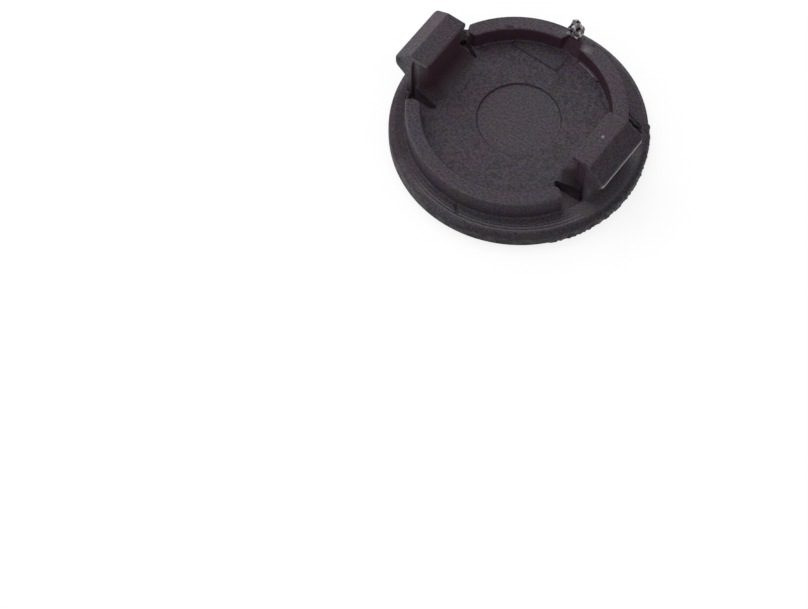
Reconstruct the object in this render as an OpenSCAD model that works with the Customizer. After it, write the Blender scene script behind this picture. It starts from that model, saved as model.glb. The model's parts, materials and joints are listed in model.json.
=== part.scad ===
// Round snap-in cap that closes a screw hole in a vehicle door trim panel.
// Moulded in one piece; it lies show face down, with its clips pointing up.
// Millimetres. The origin is the centre of the show face, and the clips stand on the X axis.

/* [Flange] */
// Diameter of the show face
flange_d = 28.2; // [27:0.1:40]
// Height of the rim's plain outer side
rim_h = 1.6; // [1.3:0.1:3]
// Radius of the show face's edge
show_edge_r = 0.5; // [0.2:0.05:0.7]
// Radius of the rim's upper edge
rim_edge_r = 0.3; // [0.1:0.05:0.6]
// Width of the bevel from the rim up to the seat
bevel_w = 0.6; // [0.3:0.05:1]
// Height of that bevel
bevel_h = 0.5; // [0.2:0.05:1]
// Radius of the seat's outer edge
seat_edge_r = 0.3; // [0.05:0.05:0.6]

/* [Mould halves] */
// Offset of the collar's axis from the show face's centre along X, as the mould's halves met
core_shift = -0.4; // [-0.5:0.05:0.5]

/* [Collar] */
// Diameter of the collar, a running fit in the panel's hole
collar_d = 24; // [20:0.5:25]
// Wall of the collar
collar_wall = 1.7; // [1.2:0.1:2.5]
// Height of the collar above the seat
collar_h = 2.8; // [1.5:0.1:5]
// Radius of the collar's top edges
collar_edge_r = 0.2; // [0.05:0.05:0.4]
// Radius of the inner corners at the collar's four ends
end_inner_r = 0.8; // [0.3:0.1:0.9]
// Radius of the outer corners there
end_outer_r = 0.4; // [0.2:0.1:0.7]
// Gap from a clip's side to the collar's front ends, at the inner face
front_gap = 1.75; // [1.2:0.05:3]
// Gap from a clip's side to the collar's ends on the gate's side
back_gap = 1.3; // [1:0.05:3]

/* [Floor] */
// Height of the floor inside the collar, above the seat
floor_rise = 0.55; // [0.3:0.05:1]
// Diameter of the round recess in the floor's middle
recess_d = 9.2; // [5:0.1:13]
// Place of that recess along X, from the collar's axis
recess_x = 0.2; // [-1:0.05:1]
// Place of that recess along Y, from the collar's axis
recess_y = 0.3; // [-1:0.05:1]
// Depth of that recess
recess_depth = 0.3; // [0.1:0.05:0.6]

/* [Clips] */
// Place of both clips along Y, from the collar's axis
clip_set_y = 0.15; // [-0.4:0.05:0.4]
// Width of a clip's post
clip_w = 6.8; // [5:0.1:7]
// Thickness of a clip from the collar's outside to its inner face
clip_t = 2.7; // [2:0.1:3.2]
// Height of a clip above the seat
clip_h = 6.5; // [5.8:0.1:9]
// Radius of the post's upright inner corners
post_corner_r = 1.6; // [0.8:0.1:1.8]
// Radius of the fillet at the post's inner foot
foot_fillet_r = 2.1; // [0.6:0.1:2.4]
// Width of that fillet
foot_fillet_w = 7.6; // [7.2:0.1:8]
// Thickness of the head slab on the post
head_t = 0.5; // [0.4:0.1:1.2]
// Radius of the head's upright inner corners
head_corner_r = 0.9; // [0.2:0.1:1.2]
// Radius of the head's top edges
head_edge_r = 0.25; // [0.1:0.05:0.35]

/* [Barbs] */
// Width of the head and of the barbed plate on the outside of a clip
barb_w = 7.7; // [7.2:0.1:8.4]
// Thickness of that plate
barb_t = 0.7; // [0.5:0.05:1.2]
// Reach of the barb's tip past the collar
barb_reach = 1.65; // [0.8:0.05:1.9]
// Height of the barb's upper edge above the seat
barb_tip_h = 4.95; // [4.6:0.05:5.3]
// Height of the flat land at the barb's tip
land_h = 0.7; // [0.4:0.05:1]
// Height above the seat at which the barb's underside starts
barb_under_h = 2.7; // [2:0.05:3.4]
// Distance of the ramp's top edge inside the collar's outside
ramp_set = 0.35; // [0.1:0.05:0.6]
// Radius of the ramp's top edge
ramp_edge_r = 0.5; // [0.1:0.05:0.6]
// Radius of the land's edges
barb_tip_r = 0.25; // [0.1:0.05:0.4]
// Radius of the barb's corners, seen from above
barb_corner_r = 0.5; // [0.2:0.1:0.8]
// Taper of the barb's ends from its tip to its top, each side
barb_end_taper = 0.4; // [0.1:0.05:0.6]

/* [Pockets] */
// Depth of the pocket round a clip's foot, below the floor
pocket_depth = 1.4; // [0.6:0.05:1.6]
// Length of the pocket, inwards from the collar's outside
pocket_run = 4.1; // [3.6:0.1:5]
// Width of the pocket's inner end
pocket_w = 7.9; // [7:0.1:9]
// Distance from the collar's inner face to where the pocket meets the collar's end
pocket_meet = 0.8; // [0.5:0.1:1.2]

/* [Gate] */
// Width of the broken gate on the collar's top
gate_w = 1.4; // [0.6:0.1:2]
// Length of the gate across the collar
gate_l = 1.3; // [0.6:0.1:1.6]
// Height of the gate's stub above the collar
gate_h = 1.45; // [0.4:0.05:2]
// Height of the stub's lower side
gate_low_h = 1.1; // [0.2:0.05:1.4]
// Distance that the stub stands out past the collar
gate_out = 0.45; // [0:0.05:0.8]
// Place of the gate along X
gate_x = -0.45; // [-3:0.05:3]
// Width of the gate's runout at the collar's inner face
runout_w = 2.4; // [1.6:0.1:3]
// Width of the runout at its head, under the stub
runout_head_w = 1.4; // [0.6:0.1:1.5]
// Depth of the runout's head in the collar's wall
runout_depth = 1.05; // [0.4:0.05:1.1]
// Place of the runout along X, from the gate's middle
runout_set = 0.35; // [0:0.05:0.8]

/* [Gate pad] */
// Length of the raised pad on the floor by the gate
pad_l = 5.8; // [3:0.1:7]
// Distance from the pad's end to the gate's middle
pad_set = 0.3; // [0:0.05:1]
// Width of the pad, inwards from the collar
pad_w = 2.6; // [1:0.1:4]
// Height of the pad above the floor
pad_h = 0.12; // [0.05:0.01:0.3]
// Width of the fillet strip along the collar on the gate's other side
strip_w = 0.3; // [0.15:0.05:0.6]
// Height of that strip above the floor
strip_h = 0.3; // [0.1:0.05:0.8]
// Gap between the strip and the gate's runout
strip_set = 0.2; // [0.1:0.05:1]
// Angle that the strip takes up along the collar
strip_angle = 18; // [8:1:30]

/* [Hidden] */
$fn = 128;

// Straight pieces in a rounded corner
arc_steps = 6;
// Overlap that joins one form to the next
lap = 0.6;
// Depth that a rounded end runs past the face it joins
sink = 0.05;

flange_r = flange_d / 2;
seat_z = rim_h + bevel_h;
collar_r = collar_d / 2;
collar_in_r = collar_r - collar_wall;
collar_z = seat_z + collar_h;
floor_z = seat_z + floor_rise;
pocket_z = floor_z - pocket_depth;
clip_in_x = collar_r - clip_t;
clip_z = seat_z + clip_h;
// Angles from a clip's middle to the collar's ends
front_angle = asin((clip_w / 2 + front_gap) / collar_in_r);
back_angle = asin((clip_w / 2 + back_gap) / collar_in_r);
plastic = [0.26, 0.24, 0.27];

function turned(v, angle) = [v.x * cos(angle) - v.y * sin(angle), v.x * sin(angle) + v.y * cos(angle)];
function polar(r, angle) = [r * cos(angle), r * sin(angle)];
function arc(centre, r, start, sweep) =
    [for (i = [0:arc_steps]) centre + polar(r, start + sweep * i / arc_steps)];

// Corner b of an outline, between points a and c, rounded to radius r
function corner(a, b, c, r) =
    r == 0 ? [b] :
    let (
        u = (a - b) / norm(a - b),
        w = (c - b) / norm(c - b),
        half = acos(u * w) / 2,
        centre = b + (u + w) / norm(u + w) * r / sin(half),
        start = b + u * r / tan(half) - centre,
        turn = (u.x * w.y - u.y * w.x > 0 ? -1 : 1) * (180 - 2 * half)
    )
    [for (i = [0:arc_steps]) centre + turned(start, turn * i / arc_steps)];

// Outline whose rows are [x, y, radius]
function rounded(rows) =
    let (n = len(rows), pts = [for (row = rows) [row.x, row.y]])
    [for (i = [0:n - 1]) each corner(pts[(i + n - 1) % n], pts[i], pts[(i + 1) % n], rows[i].z)];

// Outline in X and Z, drawn out along Y over a width centred on the X axis
module across(width) {
    translate([0, width / 2, 0]) rotate([90, 0, 0]) linear_extrude(width) children();
}

// Outline in Y and Z, drawn out along X from x0 to x1
module along(x0, x1) {
    translate([x0, 0, 0]) rotate([90, 0, 90]) linear_extrude(x1 - x0) children();
}

// Show face with its rim, bevel and seat
module flange() {
    rotate_extrude() polygon(rounded([
        [0, 0, 0],
        [flange_r, 0, show_edge_r],
        [flange_r, rim_h, rim_edge_r],
        [flange_r - bevel_w, seat_z, seat_edge_r],
        [0, seat_z, 0]
    ]));
}

// Floor and a whole collar, as one turned section on the flange
module core_body() {
    rotate_extrude() polygon(rounded([
        [0, seat_z - lap, 0],
        [collar_r, seat_z - lap, 0],
        [collar_r, collar_z, collar_edge_r],
        [collar_in_r, collar_z, collar_edge_r],
        [collar_in_r, floor_z, 0],
        [0, floor_z, 0]
    ]));
}

// Round recess in the floor's middle
module floor_recess() {
    translate([recess_x, recess_y, floor_z - recess_depth]) cylinder(d = recess_d, h = recess_depth + lap);
}

// Children on both sides of the collar's axis, as the two clips stand
module both_sides() {
    children();
    mirror([1, 0, 0]) children();
}

// Outer corner of the collar's end at an angle, and on past the collar
function outer_corner(angle) =
    let (
        r = collar_r - end_outer_r + sink,
        turn = asin(end_outer_r / r)
    )
    concat(
        arc(polar(r, angle + turn), end_outer_r, angle - 90, 90 + turn),
        [polar(collar_r + lap, angle + turn)]
    );

// Half the outline of the opening in the collar round one clip, up to the collar's end at an angle
function opening_half(angle) =
    let (
        r = collar_in_r + end_inner_r - sink,
        turn = asin(end_inner_r / r)
    )
    concat(
        [polar(collar_in_r - lap, angle + turn)],
        arc(polar(r, angle + turn), end_inner_r, angle + turn + 180, 90 - turn),
        outer_corner(angle)
    );

// Half the outline of the pocket round one clip's foot, up to the collar's end at an angle
function pocket_half(angle) = concat(
    [[collar_r - pocket_run, pocket_w / 2], polar(collar_in_r + pocket_meet, angle)],
    outer_corner(angle)
);

// Outline of two halves, one on each side of the X axis, closed outside the collar
module two_halves(back, front) {
    polygon(concat(
        back,
        [[2 * collar_r, back[len(back) - 1].y], [2 * collar_r, -front[len(front) - 1].y]],
        [for (i = [len(front) - 1:-1:0]) [front[i].x, -front[i].y]]
    ));
}

// Opening in the collar round one clip, with a pocket sunk below the floor
module collar_opening() {
    translate([0, 0, floor_z]) linear_extrude(collar_h)
        two_halves(opening_half(back_angle), opening_half(front_angle));
    intersection() {
        translate([0, 0, pocket_z]) linear_extrude(pocket_depth + lap)
            two_halves(pocket_half(back_angle), pocket_half(front_angle));
        cylinder(r = collar_r, h = collar_z);
    }
}

// Barbed plate on the outside of a clip and the head slab that joins it to the post
module barb() {
    x0 = collar_r - barb_t;
    tip_x = collar_r + barb_reach;
    tip_z = seat_z + barb_tip_h;
    foot_z = pocket_z - lap;
    top_w = barb_w - 2 * barb_end_taper;
    intersection() {
        across(barb_w) polygon(rounded([
            [x0, foot_z, 0],
            [collar_r, foot_z, 0],
            [collar_r, seat_z + barb_under_h, 0],
            [tip_x, tip_z - land_h, barb_tip_r],
            [tip_x, tip_z, barb_tip_r],
            [collar_r - ramp_set, clip_z, ramp_edge_r],
            [clip_in_x, clip_z, head_edge_r],
            [clip_in_x, clip_z - head_t, 0],
            [x0, clip_z - head_t, 0]
        ]));
        along(clip_in_x, tip_x) polygon(rounded([
            [-barb_w / 2, foot_z, 0],
            [barb_w / 2, foot_z, 0],
            [barb_w / 2, tip_z, 0],
            [top_w / 2, clip_z, head_edge_r],
            [-top_w / 2, clip_z, head_edge_r],
            [-barb_w / 2, tip_z, 0]
        ]));
        translate([0, 0, foot_z]) linear_extrude(clip_z) polygon(rounded([
            [clip_in_x, -barb_w / 2, head_corner_r],
            [tip_x, -barb_w / 2, barb_corner_r],
            [tip_x, barb_w / 2, barb_corner_r],
            [clip_in_x, barb_w / 2, head_corner_r]
        ]));
    }
}

// Post that carries the head and the barbed plate, with rounded corners on its inner side
module post() {
    x1 = collar_r - barb_t / 2;
    translate([0, 0, pocket_z - lap]) linear_extrude(clip_z - head_t / 2 - pocket_z + lap) polygon(rounded([
        [clip_in_x, -clip_w / 2, post_corner_r],
        [x1, -clip_w / 2, 0],
        [x1, clip_w / 2, 0],
        [clip_in_x, clip_w / 2, post_corner_r]
    ]));
}

// Section of the foot's fillet, from the post's face at x = 0 outwards
module fillet_section() {
    polygon(concat(
        arc([foot_fillet_r - sink, floor_z + foot_fillet_r], foot_fillet_r, 180, 90),
        [[foot_fillet_r - sink, pocket_z - lap], [-lap, pocket_z - lap], [-lap, floor_z + foot_fillet_r]]
    ));
}

// Concave fillet from the floor up to the post's inner face and round its corners
module foot_fillet() {
    flat_w = clip_w - 2 * post_corner_r;
    turn_x = clip_in_x + post_corner_r;
    intersection() {
        translate([0, -foot_fillet_w / 2, 0]) cube([collar_r, foot_fillet_w, clip_z]);
        union() {
            translate([clip_in_x, 0, 0]) mirror([1, 0, 0]) across(flat_w) fillet_section();
            translate([turn_x, flat_w / 2, 0]) rotate(90) fillet_turn();
            translate([turn_x, -flat_w / 2, 0]) rotate(180) fillet_turn();
        }
    }
}

// Quarter turn of the fillet round one of the post's corners
module fillet_turn() {
    rotate_extrude(angle = 90) translate([post_corner_r, 0]) fillet_section();
}

module clip() {
    barb();
    post();
    foot_fillet();
}

// Stub of the broken gate, with an uneven top
module gate_stub() {
    translate([gate_x, collar_r + gate_out, collar_z]) rotate([90, 0, 0]) linear_extrude(gate_l) polygon([
        [-gate_w / 2, -collar_edge_r],
        [gate_w / 2, -collar_edge_r],
        [gate_w / 2, gate_low_h],
        [gate_w / 4, gate_low_h],
        [0, gate_h],
        [-gate_w / 2, gate_h]
    ]);
}

// Sloped runout of the gate, in the collar's inner face
module gate_runout() {
    head_y = collar_in_r + runout_depth;
    foot_y = collar_in_r - lap;
    translate([gate_x + runout_set, 0, 0]) intersection() {
        linear_extrude(collar_z + lap) polygon([
            [-runout_w / 2, foot_y],
            [runout_w / 2, foot_y],
            [runout_w / 2, collar_in_r],
            [runout_head_w / 2, head_y],
            [-runout_head_w / 2, head_y],
            [-runout_w / 2, collar_in_r]
        ]);
        along(-runout_w, runout_w) polygon([
            [foot_y, floor_z],
            [collar_in_r, floor_z],
            [head_y, collar_z],
            [head_y, collar_z + lap],
            [foot_y, collar_z + lap]
        ]);
    }
}

// Low pad on the floor beside the gate
module gate_pad() {
    x1 = gate_x + pad_set;
    intersection() {
        translate([x1 - pad_l, collar_in_r - pad_w, floor_z - lap]) cube([pad_l, pad_w + lap, lap + pad_h]);
        cylinder(r = collar_in_r + lap / 2, h = collar_z);
    }
}

// Thin strip along the collar's inner foot on the gate's other side
module gate_strip() {
    end_x = gate_x + runout_set + runout_w / 2 + strip_set;
    start = 90 - strip_angle - asin(end_x / collar_in_r);
    rotate(start) rotate_extrude(angle = strip_angle) translate([collar_in_r - strip_w, floor_z - lap])
        square([strip_w + lap / 2, lap + strip_h]);
}

// All that is cut out of the collar's side of the mould
module core_cuts() {
    floor_recess();
    gate_runout();
    both_sides() collar_opening();
}

// All that stands on the floor and the collar
module core_forms() {
    translate([0, clip_set_y, 0]) both_sides() clip();
    gate_stub();
    gate_pad();
    gate_strip();
}

module trim_cap() {
    color(plastic) translate([core_shift, 0, 0]) {
        difference() {
            union() {
                translate([-core_shift, 0, 0]) flange();
                core_body();
            }
            core_cuts();
        }
        core_forms();
    }
}

trim_cap();
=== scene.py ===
"""Looks of a moulded door trim cap: a worn skin with painted shade and light over the solid, floor, light
and camera.

Lengths are in mm, or in metres where the name ends in _M.
"""
import json
import math

import bpy
import numpy as np
from mathutils import Matrix, Vector, noise


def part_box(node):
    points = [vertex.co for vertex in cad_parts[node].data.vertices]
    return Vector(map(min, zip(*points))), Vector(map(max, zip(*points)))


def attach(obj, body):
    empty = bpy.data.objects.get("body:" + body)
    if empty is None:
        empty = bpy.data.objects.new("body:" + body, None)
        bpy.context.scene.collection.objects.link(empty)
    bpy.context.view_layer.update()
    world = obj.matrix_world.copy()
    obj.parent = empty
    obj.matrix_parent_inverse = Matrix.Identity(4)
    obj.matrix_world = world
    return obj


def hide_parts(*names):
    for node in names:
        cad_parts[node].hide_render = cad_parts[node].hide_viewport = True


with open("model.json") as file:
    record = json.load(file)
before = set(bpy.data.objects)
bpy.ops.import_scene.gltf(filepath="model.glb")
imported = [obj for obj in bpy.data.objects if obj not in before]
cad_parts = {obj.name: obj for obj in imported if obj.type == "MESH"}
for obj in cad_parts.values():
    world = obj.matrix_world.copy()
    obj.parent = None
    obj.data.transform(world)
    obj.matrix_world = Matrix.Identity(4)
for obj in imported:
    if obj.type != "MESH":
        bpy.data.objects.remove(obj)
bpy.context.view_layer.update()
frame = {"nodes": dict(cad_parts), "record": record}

# One mm in metres
MM = 0.001

# Places of the solid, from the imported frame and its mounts
CAP_LOW, CAP_HIGH = [np.array(corner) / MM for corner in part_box("trim_cap")]
MOUNTS = {mount["name"]: mount for mount in frame["record"]["mounts"]}
FLANGE_R = (CAP_HIGH[0] - CAP_LOW[0]) / 2
CLIP_Z = CAP_HIGH[2]
SEAT_Z = MOUNTS["panel_seat"]["pos_m"][2] / MM
CORE_X = MOUNTS["snap_collar"]["pos_m"][0] / MM
COLLAR_R = MOUNTS["snap_collar"]["dims"]["r_mm"]
COLLAR_Z = SEAT_Z + MOUNTS["snap_collar"]["dims"]["length_mm"]

# Places that the frame doesn't state; those along X are from the collar's centre
COLLAR_IN_R = COLLAR_R - 1.7
FLOOR_Z = SEAT_Z + 0.55
BARB_X = 11.2
BARB_TIP_X = 13.65
BARB_TIP_Z = CLIP_Z - 2.25
BARB_HALF_W = 3.8
CLIP_IN_X = 9.3
CLIP_HALF_W = 3.4

# Skin mesh: voxel size, smoothing, and triangles left after thinning
VOXEL = 0.075
TRIANGLES = 180000
SMOOTH_PASSES = 3
SMOOTH_FACTOR = 0.5
CONVEX_PASSES = 4

# Ragged flash on the rim, between two angles in degrees
FLASH_FROM = -40.0
FLASH_TO = 37.0
FLASH_END = 1.5
FLASH_MARGIN = 3.0
FLASH_REACH = 0.12
FLASH_ROUGH = 0.12
FLASH_DEPTH = 1.0
FLASH_FROM_R = (FLANGE_R - 0.5, FLANGE_R - 0.1)
FLASH_TO_Z = (1.75, 2.0)
FLASH_STRETCH = 0.6
FLASH_SIZE = 0.30
FLASH_SEED = 3
FLASH_COARSE_SHARE = 0.4
FLASH_COARSE_SIZE = 0.75
FLASH_COARSE_SEED = 4

# Torn gate on the collar
GATE = np.array([-0.85, 11.8, 5.6])
GATE_RADIUS = 1.5
GATE_REACH = 1.4
GATE_ROUGH = 0.13
GATE_FROM_Z = (COLLAR_Z, COLLAR_Z + 0.25)
GATE_SIZE = 0.55
GATE_SEEDS = (11, 12, 13)
GATE_FINE_SHARE = 0.6
GATE_FINE_SIZE = 0.25
GATE_FINE_SEEDS = (14, 15, 16)

# Pale spots, pale skirt and dark cracks of the torn gate: noise size, seed, start, full
TORN_SPOTS = (0.42, 31, 0.1, 0.3)
TORN_SKIRT = (0.5, 32, -0.2, 0.1)
TORN_CRACKS = (0.38, 33, 0.12, 0.28)

# Shares and heights of the torn gate's pale plastic
TORN_LEAST = 0.14
TORN_SPOTS_SHARE = 0.8
TORN_SKIRT_SHARE = 0.9
TORN_LOW_Z = COLLAR_Z - 0.05
TORN_FROM_Z = (COLLAR_Z - 0.02, COLLAR_Z + 0.12)
TORN_SKIRT_TO_Z = (COLLAR_Z + 0.3, COLLAR_Z + 0.7)

# Pip on the right clip's head, and the recess in the floor
PIP = np.array([10.26, 0.53, CLIP_Z])
PIP_RADIUS = 0.24
PIP_HEIGHT = 0.08
PIP_FLAT = 0.4
PIP_BRIGHT = 0.3
RECESS = np.array([CORE_X + 0.2, 0.3])
RECESS_RADIUS = 4.6

# Fine turned lines on the seat
TURNED_PITCH = 0.36
TURNED_HEIGHT = 0.02
TURNED_NEAR = 0.12

# Cut marks, pits, chips and the rim's notch: start, end, half width, depth, share of dirt
MARKS = (
    ((9.3, 7.6, SEAT_Z), (11.2, 7.0, SEAT_Z), 0.17, 0.10, 0.9),
    ((8.7, 8.25, SEAT_Z), (10.2, 7.75, SEAT_Z), 0.14, 0.06, 0.7),
    ((10.2, 7.75, SEAT_Z), (12.2, 7.45, SEAT_Z - 0.3), 0.16, 0.08, 0.8),
    ((10.1, 7.3, SEAT_Z), (10.75, 7.4, SEAT_Z), 0.26, 0.12, 1.0),
    ((0.5, -12.2, SEAT_Z), (1.2, -12.9, SEAT_Z), 0.30, 0.09, 0.35),
    ((1.6, 11.75, COLLAR_Z), (1.95, 11.75, COLLAR_Z), 0.28, 0.20, 0.6),
    ((-7.2, 8.05, COLLAR_Z), (-6.9, 8.25, COLLAR_Z), 0.30, 0.15, 0.4),
    ((-11.95, 7.2, SEAT_Z - 0.5), (-11.7, 6.5, SEAT_Z), 0.55, 0.32, 0.6),
    ((-10.95, 5.45, COLLAR_Z), (-10.85, 5.40, COLLAR_Z - 0.9), 0.50, 0.25, 0.0),
)

# Share of a mark's half width that has its full depth
MARK_FLAT = 0.3

# Painted shadow lines round the pad by the gate: start, end
PAD_Z = FLOOR_Z + 0.05
PAD_LINES = (
    ((-6.3, 7.68, PAD_Z), (-0.35, 7.68, PAD_Z)),
    ((-0.35, 7.68, PAD_Z), (-0.2, 9.6, PAD_Z)),
)

# Bright lines: painted highlights along the right barb's worn tip, the strip and the rim, and a bright line
# at the collar's corner by the gate
TIP_X = BARB_TIP_X + CORE_X
TIP_FROM = (TIP_X, -3.3, BARB_TIP_Z)
TIP_TO = (TIP_X, BARB_HALF_W, BARB_TIP_Z)
CORNER = np.array([1.25, 10.65, COLLAR_Z])
STRIP_R = 9.95
STRIP_Z = 2.95
RIM_LINE_Z = 1.5

# How far a line spreads: full up to, gone at
TIP_SPREAD = (0.18, 0.5)
CORNER_SPREAD = (0.15, 0.45)
RIM_LINE_SPREAD = (0.10, 0.30)
RING_LINE_SPREAD = (0.05, 0.16)
STRIP_SPREAD = (0.05, 0.15)
PAD_SPREAD = (0.04, 0.18)

# Angles about the flange, in degrees: from, to, fade
TURNED_AT = (-105.0, -30.0, 14.0)
RIM_LINE_AT = (-181.0, -110.0, 12.0)
UNDER_BARB_AT = (-25.0, 20.0, 8.0)
FRONT_SEAT_AT = (-120.0, -33.0, 8.0)
BEVEL_AT = (-75.0, 25.0, 12.0)
RIGHT_SEAT_AT = (28.0, 60.0, 12.0)
LEFT_SEAT_AT = (-160.0, -128.0, 6.0)

# Angles about the collar, in degrees: from, to, fade
RING_LINE_AT = (-150.0, -45.0, 10.0)
STRIP_AT = (68.4, 81.9, 1.0)
BACK_RING_AT = (60.0, 130.0, 10.0)
RIGHT_WALL_AT = (-50.0, 50.0, 15.0)
ARC_END_AT = (144.0, 162.0, 2.0)
BACK_GAP_AT = (144.0, 160.0, 2.0)

# Radii about the flange: from, to, fade
TURNED_R = (12.7, 13.45, 0.15)
SEAT_R = (11.7, 13.6, 0.2)

# Radii about the flange at which painted shade on the rim, and dirt on the bevel and the seat, start, and
# at which they are full
RIM_FROM_R = (FLANGE_R - 0.55, FLANGE_R - 0.25)
BEVEL_FROM_R = (13.45, 13.65)
DIRTY_SEAT_FROM_R = (12.2, 12.6)

# Radii about the collar: from, to, fade
INNER_WALL_R = (COLLAR_IN_R - 0.3, COLLAR_IN_R + 0.3, 0.2)
ARC_END_R = (COLLAR_IN_R, COLLAR_R, 0.2)
RUNOUT_R = (COLLAR_IN_R - 0.3, COLLAR_R - 0.5, 0.2)
BACK_GAP_R = (COLLAR_R + 0.1, 13.3, 0.1)

# Radii about the collar with sharp ends
POCKET_R = (7.0, COLLAR_R - 0.03)
RING_FROM_R = COLLAR_IN_R - 0.2

# Stretches along X from the collar's centre: from, to, fade
LEFT_EDGE_X = (-11.3, -10.8, 0.15)
STEM_X = (BARB_X, BARB_X + 0.8, 0.1)
LEFT_FOOT_X = (-8.2, -7.4, 0.4)
POST_X = (CLIP_IN_X - 2.5, BARB_X, 0.3)
RIGHT_POST_X = (CLIP_IN_X - 1.0, 10.1, 0.3)
FOOT_X = (7.6, 10.8, 0.25)

# Stretch along Y: from, to, fade
LEFT_FOOT_Y = (-2.5, 3.5, 0.8)

# Along X from the collar's centre, and along Y: full up to, gone at
RIGHT_END_TO_X = (10.1, 10.7)
AHEAD_TO_Y = (-2.2, -1.0)

# Distances from the middle, along Y, with sharp ends
INNER_WALL_Y = 5.0
LEFT_FRONT_Y = 4.5
CLIP_Y = CLIP_HALF_W + 1.0
FOOT_Y = CLIP_HALF_W + 0.6

# Right ramp's start along X from the collar's centre, and the gate's run-out in the wall
RIGHT_RAMP_X = BARB_X - 0.3
RUNOUT_X = -0.85
RUNOUT_HALF_W = 1.6

# Heights at which a layer starts, and at which it is full
LEFT_FRONT_FROM_Z = (4.4, 5.2)
FOOT_FROM_Z = (FLOOR_Z - 0.02, FLOOR_Z + 0.12)
WALL_FROM_Z = (FLOOR_Z + 0.1, FLOOR_Z + 0.6)

# Heights up to which a layer is full, and at which it is gone
FOOT_TO_Z = (3.9, 4.6)
POCKET_TO_Z = (FLOOR_Z - 0.3, FLOOR_Z - 0.05)

# Heights between which a layer lies, with sharp ends
SEAT_BAND_Z = (SEAT_Z - 0.2, FLOOR_Z)
DIRTY_SEAT_Z = (SEAT_Z - 0.6, SEAT_Z + 0.6)
STEM_Z = (SEAT_Z, 5.4)
LEFT_FOOT_Z = (FLOOR_Z - 0.1, FLOOR_Z + 0.3)
RING_Z = (COLLAR_Z - 0.1, COLLAR_Z + 0.1)
BACK_GAP_Z = (1.0, COLLAR_Z - 0.15)

# Heights above which a layer lies, with a sharp end
POCKET_LOW_Z = 1.0
CLIP_FRONT_Z = FLOOR_Z + 0.2
RIGHT_BARB_Z = 5.6
RIGHT_RAMP_Z = BARB_TIP_Z + 0.3
LEFT_HEAD_Z = CLIP_Z - 0.1

# Part of the normal that points the layer's way, where it starts and where it is full
LEFT_RAMP_TILT = (0.3, 0.5)
RIGHT_RAMP_TILT = (0.25, 0.45)
INWARD_TILT = (0.2, 0.6)
ARC_END_TILT = (0.3, 0.6)
FRONT_TILT = (0.4, 0.8)
SQUARE_TILT = (0.5, 0.8)

# Part of the normal along Z: walls are full up to, gone at, and the bevel starts sharply
UPRIGHT_TILT = (0.35, 0.8)
RIM_TILT = (0.2, 0.6)
BEVEL_TILT = 0.2

# How far a point stands out on an edge, or lies back in a crease: start, full
EDGE_STANDS = (0.02, 0.08)
CREASE_LIES = (0.02, 0.09)

# Uneven cover of the worn edges and of the painted shade on the rim: noise size, seed, mean, swing
SCUFF = (1.1, 21, 0.65, 0.6)
RIM_COVER = (0.9, 41, 0.7, 0.6)

# Strongest share of each layer of wear and of painted light; the left edge's adds to the left front's
WEAR_EDGES = 0.40
# Painted highlight, over wear, along the right barb's tip
TIP_WEAR_AND_HIGHLIGHT = 1.0
WEAR_CORNER = 0.5
# Painted highlights along the rim, the ring's edge and the strip
HIGHLIGHT_RIM_LINE = 0.30
HIGHLIGHT_RING_LINE = 0.25
HIGHLIGHT_STRIP = 0.88
WEAR_LINES = 0.40
# Painted reflection on the left ramp; painted light on the left clip's front faces and its barb's end
REFLECTION_LEFT_RAMP = 0.075
LIGHT_LEFT_FRONT = 0.12
LIGHT_LEFT_EDGE = 0.20
# Painted light on the right clip's stem
LIGHT_STEM = 0.07
# Pale dust and painted light in the pockets
DUST_AND_LIGHT_POCKET = 0.09
# Painted light on the left foot, the recess, under the barb, the front seat and the back of the ring
LIGHT_LEFT_FOOT = 0.05
LIGHT_RECESS = 0.035
LIGHT_UNDER_BARB = 0.12
LIGHT_FRONT_SEAT = 0.03
LIGHT_BACK_RING = 0.03

# Wear from which plastic also turns pale, a paler painted highlight on the tip and the strip: start, full,
# and the strongest share
PALE_WEAR_AND_HIGHLIGHT = (0.6, 1.0)
PALE_WEAR_AND_HIGHLIGHT_SHARE = 0.35

# Strongest share of two layers of red-brown painted shade, and how much less the right wall has
SHADE_ARC_END = 0.7
SHADE_POCKET = 0.8
SHADE_RIGHT_WALL_LESS = 0.6

# Strongest share of each layer of dirt and of painted shade
# Painted shade in the creases
SHADE_CREASES = 0.5
# Painted shadow along the pad's lines
SHADE_PAD_LINES = 0.7
# Painted shade on the rim's wall
SHADE_RIM = 0.85
DIRT_BEVEL = 0.35
DIRT_RIGHT_SEAT = 0.18
DIRT_LEFT_SEAT = 0.32
DIRT_LEFT_HEAD = 0.2
# Painted shade on the right clip's ramp, and on its post's and barb's front faces
SHADE_RIGHT_RAMP = 0.30
SHADE_RIGHT_POST = 0.45
SHADE_RIGHT_BARB = 0.15
# Painted shade on the clips' feet, and a painted shadow ahead of the right one
SHADOW_RIGHT_FOOT = 0.75
SHADE_LEFT_FOOT = 0.25
SHADE_LEFT_FOOT_FRONT = 0.5
# Painted shade in the gap at the back
SHADE_BACK_GAP = 0.85

# Colours of the plastic, of what lies on it, and of painted shade and light
RED_PURPLE = (0.031, 0.012, 0.026, 1)
BLUE_PURPLE = (0.019, 0.014, 0.027, 1)
BROWN = (0.024, 0.017, 0.017, 1)
GRAIN_DARK = (0.3, 0.3, 0.3, 1)
GRAIN_LIGHT = (1.9, 1.9, 1.9, 1)
# Red-brown painted shade on the shaded walls, posts, collar's end and pockets
PAINTED_SHADE_COLOUR = (0.043, 0.017, 0.025, 1)
# Colour of wear and of painted highlights and light
WEAR_AND_LIGHT_COLOUR = (0.22, 0.21, 0.20, 1)
# Colour of black dirt and of painted shade
DIRT_AND_SHADE_COLOUR = (0.010, 0.0080, 0.0076, 1)
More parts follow.
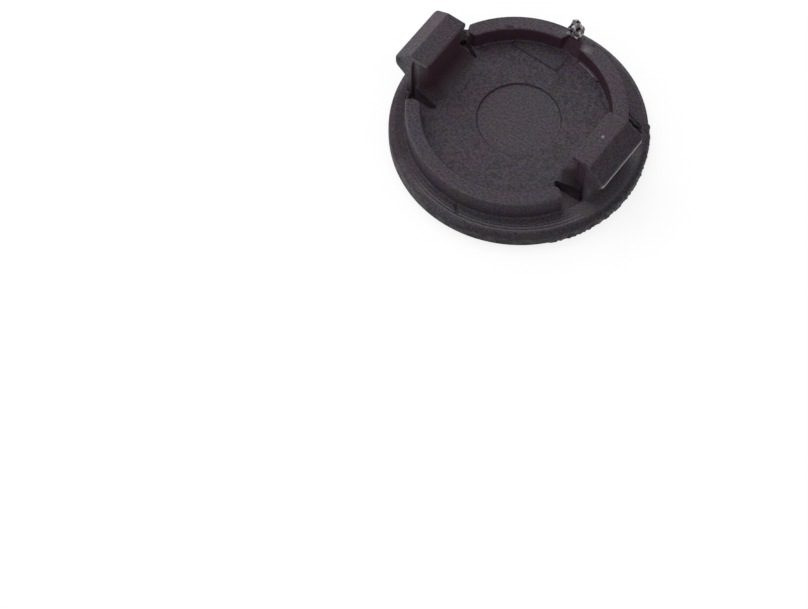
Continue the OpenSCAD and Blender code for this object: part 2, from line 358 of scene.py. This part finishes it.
# Pale torn plastic, also the paler painted highlight on the tip and the strip
PALE_AND_HIGHLIGHT_COLOUR = (0.62, 0.60, 0.60, 1)

# Noise in the plastic: scale a metre, detail
CLOUD_NOISE = (230.0, 3.0)
PATCH_NOISE = (800.0, 2.0)
GRAIN_NOISE = (4300.0, 2.0)
FINE_NOISE = (9000.0, 1.0)

# Stretch of each noise over which one look turns into the other
CLOUD_BLEND = (0.35, 0.65)
PATCH_BLEND = (0.4, 0.7)
GRAIN_BLEND = (0.35, 0.65)
ROUGH_BLEND = (0.3, 0.7)

# Roughness at low and high grain, gloss of clean plastic and of plastic under dirt and painted shade, and
# bump
ROUGHNESS = (0.62, 0.42)
GLOSS = (0.5, 0.05)
PLASTIC_IOR = 1.49
BUMP_STRENGTH = 0.7
BUMP_DISTANCE_M = 0.00009

# Floor: its own colour, and what the camera and reflections see
FLOOR_SIZE_M = 4.0
FLOOR_COLOUR = (0.80, 0.80, 0.80, 1)
FLOOR_SEEN_COLOUR = (0.20, 0.20, 0.20, 1)
FLOOR_SEEN_GLOW = 0.81
FLOOR_ROUGHNESS = 0.9
WHITE = (1.0, 1.0, 1.0, 1)

# Studio light: a sky that is brighter on one side, and one soft key
SKY_TOWARDS = (-0.72, -0.30, 0.60)
SKY_DIM = 0.34
SKY_BRIGHT = 1.00
SKY_COLOUR = (0.985, 0.97, 1.03, 1)
KEY_PLACE_M = (-0.48, 0.16, 0.80)
KEY_SIZE_M = 0.9
KEY_WATTS = 3.0

# Photograph's camera, on the cap's own axes, turned by degrees
IMAGE_W = 808
FOCAL_PX = 3000.0
SENSOR_MM = 36.0
CLIP_START_M = 0.01
CAMERA_POS = (93.30, -146.85, 276.84)
CAMERA_TILT = 28.842
CAMERA_TURN = 36.517


def smoothstep(low, high, value):
    """0 below low, 1 above high, smooth between them."""
    t = np.clip((value - low) / (high - low), 0.0, 1.0)
    return t * t * (3.0 - 2.0 * t)


def near(full, gone, value):
    """1 up to full, fading to 0 at gone."""
    return 1.0 - smoothstep(full, gone, value)


def band(low, high, fade, value):
    """1 between low and high, fading to 0 outside them."""
    return smoothstep(low - fade, low, value) * near(high, high + fade, value)


def between(low, high, value):
    """True between low and high."""
    return (value > low) & (value < high)


def strongest(layers):
    """Largest value at each point over layers, each a share and a mask."""
    result = 0.0
    for share, mask in layers:
        result = np.maximum(result, share * mask)
    return result


def noise_at(points, size, seed):
    """Smooth noise of about -1 to 1 at each point, with features of that size."""
    shift = np.array([seed * 17.3, seed * 5.1, seed * 9.7])
    return np.array([noise.noise(p) for p in (points / size + shift).tolist()])


def spots(points, size, seed, start, full):
    """0 where the noise is under start, 1 where it is over full."""
    return smoothstep(start, full, noise_at(points, size, seed))


def cover(points, size, seed, mean, swing):
    """Uneven cover of 0 to 1 about a mean."""
    return np.clip(mean + swing * noise_at(points, size, seed), 0.0, 1.0)


def segment_distance(points, start, end):
    """Distance of each point from a straight line between two places."""
    start = np.array(start)
    line = np.array(end) - start
    t = np.clip((points - start) @ line / (line @ line), 0.0, 1.0)
    return np.linalg.norm(points - start - t[:, None] * line, axis=1)


def polar(points, centre_x):
    """Radius and angle in degrees of each point about an upright axis."""
    x = points[:, 0] - centre_x
    return np.hypot(x, points[:, 1]), np.degrees(np.arctan2(points[:, 1], x))


class Skin:
    """Dense mesh over the solid, whose points can be worn and marked."""

    def __init__(self, node):
        mesh = node.data.copy()
        mesh.transform(Matrix.Scale(1.0 / MM, 4))
        voxel = VOXEL
        self.mesh = self.modified(mesh, "REMESH", mode="VOXEL", voxel_size=voxel)
        count = len(self.mesh.vertices)
        self.points = np.zeros(count * 3)
        self.mesh.vertices.foreach_get("co", self.points)
        self.points = self.points.reshape(-1, 3)
        edges = np.zeros(len(self.mesh.edges) * 2, dtype=int)
        self.mesh.edges.foreach_get("vertices", edges)
        self.ends = edges
        self.others = edges.reshape(-1, 2)[:, ::-1].ravel()
        self.degree = np.bincount(edges, minlength=count)

    def modified(self, mesh, kind, **settings):
        """New mesh that one modifier makes of this one."""
        source = bpy.data.objects.new("skin_source", mesh)
        bpy.context.scene.collection.objects.link(source)
        modifier = source.modifiers.new("change", kind)
        for name, value in settings.items():
            setattr(modifier, name, value)
        deps = bpy.context.evaluated_depsgraph_get()
        changed = source.evaluated_get(deps)
        result = bpy.data.meshes.new_from_object(changed, preserve_all_data_layers=True, depsgraph=deps)
        bpy.data.objects.remove(source)
        return result

    def mean_of_neighbours(self, values):
        """Mean over each point's neighbours of an array with one row a point."""
        count = len(self.degree)
        total = [np.bincount(self.ends, column[self.others], count) for column in values.T]
        return np.stack(total, axis=1) / self.degree[:, None]

    def smooth(self, passes, factor):
        for _ in range(passes):
            self.points += factor * (self.mean_of_neighbours(self.points) - self.points)

    def write(self):
        self.mesh.vertices.foreach_set("co", self.points.ravel())
        self.mesh.update()

    def normals(self):
        self.write()
        values = np.zeros(len(self.points) * 3)
        self.mesh.vertices.foreach_get("normal", values)
        return values.reshape(-1, 3)

    def convexity(self):
        """How far each point stands out of its surroundings, positive on outer edges."""
        around = self.points
        for _ in range(CONVEX_PASSES):
            around = self.mean_of_neighbours(around)
        return np.sum((self.points - around) * self.normals(), axis=1)

    def mark(self, name, values):
        attribute = self.mesh.attributes.new(name, "FLOAT", "POINT")
        attribute.data.foreach_set("value", values.astype(np.float32))

    def thinned(self, triangles):
        """The finished mesh, thinned to about that many triangles."""
        self.write()
        ratio = triangles / (2.0 * len(self.mesh.polygons))
        if ratio >= 1.0:
            return self.mesh
        return self.modified(self.mesh, "DECIMATE", ratio=ratio)


class Places:
    """Where each point of the skin lies and which way it faces, for the maps of wear and painted light, of
    red-brown painted shade, and of dirt and painted shade.
    """

    def __init__(self, points, normals):
        self.points = points
        self.core_x = points[:, 0] - CORE_X
        self.y = points[:, 1]
        self.z = points[:, 2]
        self.flange_r, self.flange_at = polar(points, 0.0)
        self.core_r, self.core_at = polar(points, CORE_X)
        self.nx, self.ny, self.nz = normals.T
        self.upright = near(*UPRIGHT_TILT, np.abs(self.nz))
        self.to_front = smoothstep(*FRONT_TILT, -self.ny)
        self.square_to_front = smoothstep(*SQUARE_TILT, -self.ny)
        self.on_left_clip = self.core_x < -CLIP_IN_X
        self.in_pocket = near(*POCKET_TO_Z, self.z) * (self.z > POCKET_LOW_Z)
        self.in_pocket *= between(*POCKET_R, self.core_r)


def rim_flash(points):
    """Pushes the rim out into a ragged edge over the flash's angle."""
    radius, angle = polar(points, 0.0)
    close = (radius > FLANGE_R - FLASH_DEPTH) & (points[:, 2] < SEAT_Z)
    close &= between(FLASH_FROM - FLASH_MARGIN, FLASH_TO + FLASH_MARGIN, angle)
    rows = points[close]
    along = np.radians(angle[close]) * FLANGE_R
    flat = np.stack([along, np.zeros(len(along)), rows[:, 2] * FLASH_STRETCH], axis=1)
    rough = noise_at(flat, FLASH_SIZE, FLASH_SEED)
    rough += FLASH_COARSE_SHARE * noise_at(flat, FLASH_COARSE_SIZE, FLASH_COARSE_SEED)
    reach = FLASH_REACH + FLASH_ROUGH * rough
    weight = band(FLASH_FROM, FLASH_TO, FLASH_END, angle[close])
    weight *= smoothstep(*FLASH_FROM_R, radius[close])
    weight *= near(*FLASH_TO_Z, rows[:, 2])
    out = rows[:, :2] / radius[close][:, None]
    points[close, :2] += out * (weight * reach)[:, None]


def torn_gate(points):
    """Roughens the stub of the gate into a torn lump."""
    distance = np.linalg.norm(points - GATE, axis=1)
    close = (distance < GATE_RADIUS * GATE_REACH) & (points[:, 2] > COLLAR_Z)
    rows = points[close]
    push = np.stack([noise_at(rows, GATE_SIZE, seed) for seed in GATE_SEEDS], axis=1)
    fine = np.stack([noise_at(rows, GATE_FINE_SIZE, seed) for seed in GATE_FINE_SEEDS], axis=1)
    push += GATE_FINE_SHARE * fine
    weight = smoothstep(*GATE_FROM_Z, rows[:, 2])
    points[close] += GATE_ROUGH * push * weight[:, None]


def cut_marks(skin):
    """Sinks the marks and returns how much dirt they hold at each point."""
    normals = skin.normals()
    held = np.zeros(len(skin.points))
    for start, end, width, depth, share in MARKS:
        weight = near(MARK_FLAT * width, width, segment_distance(skin.points, start, end))
        skin.points -= normals * (depth * weight)[:, None]
        held = np.maximum(held, share * weight)
    return held


def turned_lines(skin):
    """Raises the fine turned lines of the seat and returns their height at each point, -1 to 1."""
    points = skin.points
    radius, angle = polar(points, 0.0)
    on_seat = band(*TURNED_R, radius) * (np.abs(points[:, 2] - SEAT_Z) < TURNED_NEAR)
    lines = on_seat * band(*TURNED_AT, angle) * np.cos(2.0 * np.pi * radius / TURNED_PITCH)
    points += skin.normals() * (TURNED_HEIGHT * lines)[:, None]
    return lines


def raise_pip(skin):
    """Raises the pip and returns its weight at each point."""
    weight = near(PIP_FLAT * PIP_RADIUS, PIP_RADIUS, np.linalg.norm(skin.points - PIP, axis=1))
    skin.points[:, 2] += PIP_HEIGHT * weight
    return weight


def wear_and_light_map(at, convex, lines):
    """Share of bare, rubbed plastic and of painted light: edges, scuffs, turned lines, pale dust and
    painted light in the pockets, the bright lines, painted reflection on the left ramp and painted light on
    lit faces.
    """
    tip = segment_distance(at.points, TIP_FROM, TIP_TO)
    corner = np.linalg.norm(at.points - CORNER, axis=1)
    rim_line = np.hypot(at.flange_r - FLANGE_R, at.z - RIM_LINE_Z)
    ring_line = np.hypot(at.core_r - COLLAR_R, at.z - COLLAR_Z)
    strip = np.hypot(at.core_r - STRIP_R, at.z - STRIP_Z)
    left_ramp = at.on_left_clip * smoothstep(*LEFT_RAMP_TILT, -at.nx) * (at.z > BARB_TIP_Z)
    left_front = at.on_left_clip * at.square_to_front * (np.abs(at.y) < LEFT_FRONT_Y)
    left_front *= smoothstep(*LEFT_FRONT_FROM_Z, at.z)
    left_shares = LIGHT_LEFT_FRONT + LIGHT_LEFT_EDGE * band(*LEFT_EDGE_X, at.core_x)
    stem = band(*STEM_X, at.core_x) * at.square_to_front * between(*STEM_Z, at.z)
    left_foot = band(*LEFT_FOOT_X, at.core_x) * band(*LEFT_FOOT_Y, at.y) * between(*LEFT_FOOT_Z, at.z)
    recess = (np.linalg.norm(at.points[:, :2] - RECESS, axis=1) < RECESS_RADIUS) * (at.z > SEAT_Z)
    seat = band(*SEAT_R, at.flange_r) * between(*SEAT_BAND_Z, at.z)
    ring = between(*RING_Z, at.z) * (at.core_r > RING_FROM_R)
    return strongest((
        (WEAR_EDGES, smoothstep(*EDGE_STANDS, convex) * cover(at.points, *SCUFF)),
        # painted highlight along the barb's worn tip
        (TIP_WEAR_AND_HIGHLIGHT, near(*TIP_SPREAD, tip)),
        (WEAR_CORNER, near(*CORNER_SPREAD, corner)),
        # painted highlights along the rim, the ring's edge and the strip
        (HIGHLIGHT_RIM_LINE, near(*RIM_LINE_SPREAD, rim_line) * band(*RIM_LINE_AT, at.flange_at)),
        (HIGHLIGHT_RING_LINE, near(*RING_LINE_SPREAD, ring_line) * band(*RING_LINE_AT, at.core_at)),
        (HIGHLIGHT_STRIP, near(*STRIP_SPREAD, strip) * band(*STRIP_AT, at.core_at)),
        (WEAR_LINES, np.clip(lines, 0.0, 1.0)),
        # painted reflection on the left ramp, painted light on the left clip's front
        (REFLECTION_LEFT_RAMP, left_ramp),
        (left_shares, left_front),
        # painted light on the stem
        (LIGHT_STEM, stem),
        # pale dust and painted light in the pockets
        (DUST_AND_LIGHT_POCKET, at.in_pocket),
        # painted light on the left foot, the recess, under the barb, the front seat and the back of the
        # ring
        (LIGHT_LEFT_FOOT, left_foot),
        (LIGHT_RECESS, recess),
        (LIGHT_UNDER_BARB, seat * band(*UNDER_BARB_AT, at.flange_at)),
        (LIGHT_FRONT_SEAT, seat * band(*FRONT_SEAT_AT, at.flange_at)),
        (LIGHT_BACK_RING, ring * band(*BACK_RING_AT, at.core_at)),
    ))


def painted_shade_map(at):
    """Share of red-brown painted shade: shaded walls inside the cap, the collar's end and the pockets."""
    inner = band(*INNER_WALL_R, at.core_r) * (np.abs(at.y) > INNER_WALL_Y)
    inner *= 1.0 - SHADE_RIGHT_WALL_LESS * band(*RIGHT_WALL_AT, at.core_at)
    runout = (np.abs(at.points[:, 0] - RUNOUT_X) < RUNOUT_HALF_W) * (at.y > 0.0)
    runout = runout * band(*RUNOUT_R, at.core_r)
    post = band(*POST_X, np.abs(at.core_x)) * (np.abs(at.y) < CLIP_Y)
    inward = smoothstep(*INWARD_TILT, -at.nx * np.sign(at.core_x))
    right_end = (at.core_x > 0) * at.to_front * near(*RIGHT_END_TO_X, at.core_x) * at.upright
    arc_end = band(*ARC_END_AT, at.core_at) * band(*ARC_END_R, at.core_r)
    arc_end *= smoothstep(*ARC_END_TILT, -at.ny)
    above = smoothstep(*WALL_FROM_Z, at.z)
    return strongest((
        # red-brown painted shade on the walls, the posts' inner and front faces, the collar's end and the
        # pockets
        (above, at.upright * np.maximum(inner, runout)),
        (above, post * np.maximum(inward, right_end)),
        (SHADE_ARC_END, above * arc_end),
        (SHADE_POCKET, at.in_pocket),
    ))


def dirt_and_shade_map(at, convex, held):
    """Share of black dirt and painted shade: painted shade in the creases, along the pad lines, on the rim,
    the right clip, the clips' feet and in the gap at the back; dirt on the bevel, the seat, the left head
    and in the marks.
    """
    pad = [near(*PAD_SPREAD, segment_distance(at.points, *line)) for line in PAD_LINES]
    rim = smoothstep(*RIM_FROM_R, at.flange_r) * near(*RIM_TILT, np.abs(at.nz))
    bevel = smoothstep(*BEVEL_FROM_R, at.flange_r) * (at.nz > BEVEL_TILT)
    seat = smoothstep(*DIRTY_SEAT_FROM_R, at.flange_r) * between(*DIRTY_SEAT_Z, at.z)
    ramp = smoothstep(*RIGHT_RAMP_TILT, at.nx) * (at.z > RIGHT_RAMP_Z)
    ramp *= (at.core_x > RIGHT_RAMP_X) * (np.abs(at.y) < BARB_HALF_W)
    front = (np.abs(at.y) < CLIP_Y) * (at.z > CLIP_FRONT_Z) * at.upright * at.to_front
    foot = band(*FOOT_X, np.abs(at.core_x)) * (np.abs(at.y) < FOOT_Y)
    foot *= smoothstep(*FOOT_FROM_Z, at.z) * near(*FOOT_TO_Z, at.z)
    ahead = near(*AHEAD_TO_Y, at.y)
    back_gap = band(*BACK_GAP_AT, at.core_at) * band(*BACK_GAP_R, at.core_r)
    return strongest((
        # painted shade in the creases
        (SHADE_CREASES, smoothstep(*CREASE_LIES, -convex)),
        # painted shadow lines round the pad
        (SHADE_PAD_LINES, np.max(pad, axis=0)),
        # painted shade on the rim's wall
        (SHADE_RIM, rim * cover(at.points, *RIM_COVER)),
        (DIRT_BEVEL, bevel * band(*BEVEL_AT, at.flange_at)),
        (DIRT_RIGHT_SEAT, seat * band(*RIGHT_SEAT_AT, at.flange_at)),
        (DIRT_LEFT_SEAT, seat * band(*LEFT_SEAT_AT, at.flange_at)),
        (DIRT_LEFT_HEAD, at.on_left_clip * (at.z > LEFT_HEAD_Z)),
        # painted shade on the right clip's ramp and front faces
        (SHADE_RIGHT_RAMP, ramp),
        (SHADE_RIGHT_POST, front * band(*RIGHT_POST_X, at.core_x)),
        (SHADE_RIGHT_BARB, front * (at.core_x > BARB_X) * (at.z > RIGHT_BARB_Z)),
        # painted shade on the clips' feet, and painted shadow ahead of the right foot
        (SHADOW_RIGHT_FOOT, foot * ahead * (at.core_x > 0)),
        (SHADE_LEFT_FOOT, foot * (at.core_x < 0)),
        (SHADE_LEFT_FOOT_FRONT, foot * ahead * (at.core_x < 0)),
        # painted shade in the gap at the back
        (SHADE_BACK_GAP, back_gap * between(*BACK_GAP_Z, at.z)),
        (1.0, held),
    ))


def torn_maps(points):
    """Pale torn plastic on the gate's stub, and the dark cracks in it."""
    pale = np.zeros(len(points))
    cracks = np.zeros(len(points))
    close = (np.linalg.norm(points - GATE, axis=1) < GATE_RADIUS) & (points[:, 2] > TORN_LOW_Z)
    rows = points[close]
    pale[close] = strongest((
        (TORN_LEAST, np.ones(len(rows))),
        (TORN_SPOTS_SHARE, spots(rows, *TORN_SPOTS)),
        (TORN_SKIRT_SHARE, near(*TORN_SKIRT_TO_Z, rows[:, 2]) * spots(rows, *TORN_SKIRT)),
    ))
    cracks[close] = spots(rows, *TORN_CRACKS)
    rise = smoothstep(*TORN_FROM_Z, points[:, 2])
    return pale * rise * (1.0 - cracks), cracks * rise


class Nodes:
    """Short names for the nodes of one material."""

    def __init__(self, name):
        self.material = bpy.data.materials.new(name)
        self.material.use_nodes = True
        self.nodes = self.material.node_tree.nodes
        self.links = self.material.node_tree.links
        self.shader = self.nodes["Principled BSDF"]

    def new(self, kind, **settings):
        node = self.nodes.new("ShaderNode" + kind)
        for name, value in settings.items():
            setattr(node, name, value)
        return node

    def feed(self, value, socket):
        """Links an output, or sets a plain value."""
        if isinstance(value, bpy.types.NodeSocket):
            self.links.new(value, socket)
        else:
            socket.default_value = value

    def noise(self, place, scale, detail):
        node = self.new("TexNoise")
        node.inputs["Scale"].default_value = scale
        node.inputs["Detail"].default_value = detail
        self.links.new(place, node.inputs["Vector"])
        return node.outputs["Fac"]

    def mix(self, factor, first, second, mode="MIX"):
        node = self.new("Mix", data_type="RGBA", blend_type=mode)
        for value, socket in zip((factor, first, second), (node.inputs[0], node.inputs[6], node.inputs[7])):
            self.feed(value, socket)
        return node.outputs[2]

    def math(self, operation, first, second):
        node = self.new("Math", operation=operation)
        self.feed(first, node.inputs[0])
        self.feed(second, node.inputs[1])
        return node.outputs[0]

    def ramp(self, source, low, high, start=0.0, end=1.0):
        node = self.new("MapRange")
        for name, value in zip(("From Min", "From Max", "To Min", "To Max"), (low, high, start, end)):
            node.inputs[name].default_value = value
        self.links.new(source, node.inputs["Value"])
        return node.outputs["Result"]

    def attribute(self, name):
        return self.new("Attribute", attribute_name=name).outputs["Fac"]


def plastic_material():
    n = Nodes("moulded_plastic")
    place = n.new("TexCoord").outputs["Object"]
    cloud = n.noise(place, *CLOUD_NOISE)
    patch = n.noise(place, *PATCH_NOISE)
    grain = n.noise(place, *GRAIN_NOISE)
    fine = n.noise(place, *FINE_NOISE)
    purple = n.mix(n.ramp(cloud, *CLOUD_BLEND), RED_PURPLE, BLUE_PURPLE)
    base = n.mix(n.ramp(patch, *PATCH_BLEND), purple, BROWN)
    dark = n.mix(1.0, base, GRAIN_DARK, "MULTIPLY")
    light = n.mix(1.0, base, GRAIN_LIGHT, "MULTIPLY")
    grained = n.mix(n.ramp(grain, *GRAIN_BLEND), dark, light)
    # red-brown painted shade
    shaded = n.mix(n.attribute("grime"), grained, PAINTED_SHADE_COLOUR)
    # wear and painted light
    worn_and_lit = n.mix(n.attribute("wear"), shaded, WEAR_AND_LIGHT_COLOUR)
    # black dirt and painted shade, which also dull the sheen
    dirt = n.attribute("dirt")
    dirty_and_shaded = n.mix(dirt, worn_and_lit, DIRT_AND_SHADE_COLOUR)
    # pale torn plastic, the pip, and paler painted highlights
    pale_and_highlit = n.mix(n.attribute("stress"), dirty_and_shaded, PALE_AND_HIGHLIGHT_COLOUR)
    n.feed(pale_and_highlit, n.shader.inputs["Base Color"])
    n.feed(n.ramp(grain, *ROUGH_BLEND, *ROUGHNESS), n.shader.inputs["Roughness"])
    n.feed(n.ramp(dirt, 0.0, 1.0, *GLOSS), n.shader.inputs["Specular IOR Level"])
    n.shader.inputs["IOR"].default_value = PLASTIC_IOR
    bump = n.new("Bump")
    bump.inputs["Strength"].default_value = BUMP_STRENGTH
    bump.inputs["Distance"].default_value = BUMP_DISTANCE_M
    n.feed(n.math("ADD", grain, fine), bump.inputs["Height"])
    n.feed(bump.outputs["Normal"], n.shader.inputs["Normal"])
    return n.material


def make_skin():
    skin = Skin(frame["nodes"]["trim_cap"])
    skin.smooth(SMOOTH_PASSES, SMOOTH_FACTOR)
    rim_flash(skin.points)
    torn_gate(skin.points)
    held = cut_marks(skin)
    lines = turned_lines(skin)
    pip = raise_pip(skin)
    at = Places(skin.points, skin.normals())
    convex = skin.convexity()
    pale, cracks = torn_maps(skin.points)
    # red-brown painted shade on the shaded walls and in the pockets
    skin.mark("grime", painted_shade_map(at))
    # black dirt, the gate's cracks and painted shade
    skin.mark("dirt", np.maximum(dirt_and_shade_map(at, convex, held), cracks))
    # wear, and painted highlights, reflection and light
    wear = wear_and_light_map(at, convex, lines)
    # paler painted highlight where wear and painted highlights are strongest, and the pip
    pip_and_highlight = np.maximum(PIP_BRIGHT * pip, PALE_WEAR_AND_HIGHLIGHT_SHARE * smoothstep(*PALE_WEAR_AND_HIGHLIGHT, wear))
    skin.mark("stress", np.maximum(pale, pip_and_highlight))
    skin.mark("wear", wear)
    skin.points = skin.points * MM
    mesh = skin.thinned(TRIANGLES)
    mesh.polygons.foreach_set("use_smooth", [True] * len(mesh.polygons))
    piece = bpy.data.objects.new("cap_skin", mesh)
    bpy.context.scene.collection.objects.link(piece)
    mesh.materials.clear()
    mesh.materials.append(plastic_material())
    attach(piece, "root")
    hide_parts("trim_cap")


def make_floor():
    n = Nodes("white_floor")
    path = n.new("LightPath").outputs
    seen = n.math("MAXIMUM", path["Is Camera Ray"], path["Is Glossy Ray"])
    seen = n.math("MAXIMUM", seen, path["Is Transmission Ray"])
    n.feed(n.mix(seen, FLOOR_COLOUR, FLOOR_SEEN_COLOUR), n.shader.inputs["Base Color"])
    n.feed(n.math("MULTIPLY", seen, FLOOR_SEEN_GLOW), n.shader.inputs["Emission Strength"])
    n.shader.inputs["Emission Color"].default_value = WHITE
    n.shader.inputs["Roughness"].default_value = FLOOR_ROUGHNESS
    n.shader.inputs["Specular IOR Level"].default_value = 0.0
    bpy.ops.mesh.primitive_plane_add(size=FLOOR_SIZE_M)
    floor = bpy.context.object
    floor.name = "floor"
    floor.data.materials.append(n.material)


def make_light():
    world = bpy.data.worlds.new("studio")
    bpy.context.scene.world = world
    world.use_nodes = True
    nodes = world.node_tree.nodes
    links = world.node_tree.links
    direction = nodes.new("ShaderNodeTexCoord")
    facing = nodes.new("ShaderNodeVectorMath")
    facing.operation = "DOT_PRODUCT"
    facing.inputs[1].default_value = Vector(SKY_TOWARDS).normalized()
    links.new(direction.outputs["Generated"], facing.inputs[0])
    level = nodes.new("ShaderNodeMapRange")
    for name, value in (("From Min", -1.0), ("From Max", 1.0), ("To Min", SKY_DIM), ("To Max", SKY_BRIGHT)):
        level.inputs[name].default_value = value
    links.new(facing.outputs["Value"], level.inputs["Value"])
    links.new(level.outputs["Result"], nodes["Background"].inputs["Strength"])
    nodes["Background"].inputs["Color"].default_value = SKY_COLOUR
    lamp = bpy.data.lights.new("key", "AREA")
    lamp.shape = "DISK"
    lamp.size = KEY_SIZE_M
    lamp.energy = KEY_WATTS
    key = bpy.data.objects.new("key", lamp)
    key.location = KEY_PLACE_M
    key.rotation_euler = (-Vector(KEY_PLACE_M)).to_track_quat("-Z", "Y").to_euler()
    bpy.context.scene.collection.objects.link(key)


def make_camera():
    data = bpy.data.cameras.new("camera")
    data.sensor_fit = "HORIZONTAL"
    data.sensor_width = SENSOR_MM
    data.lens = FOCAL_PX * SENSOR_MM / IMAGE_W
    data.clip_start = CLIP_START_M
    camera = bpy.data.objects.new("camera", data)
    camera.location = Vector(CAMERA_POS) * MM
    camera.rotation_euler = (math.radians(CAMERA_TILT), 0.0, math.radians(CAMERA_TURN))
    bpy.context.scene.collection.objects.link(camera)
    bpy.context.scene.camera = camera


make_skin()
make_floor()
make_light()
make_camera()
bpy.context.scene.view_settings.view_transform = "Standard"
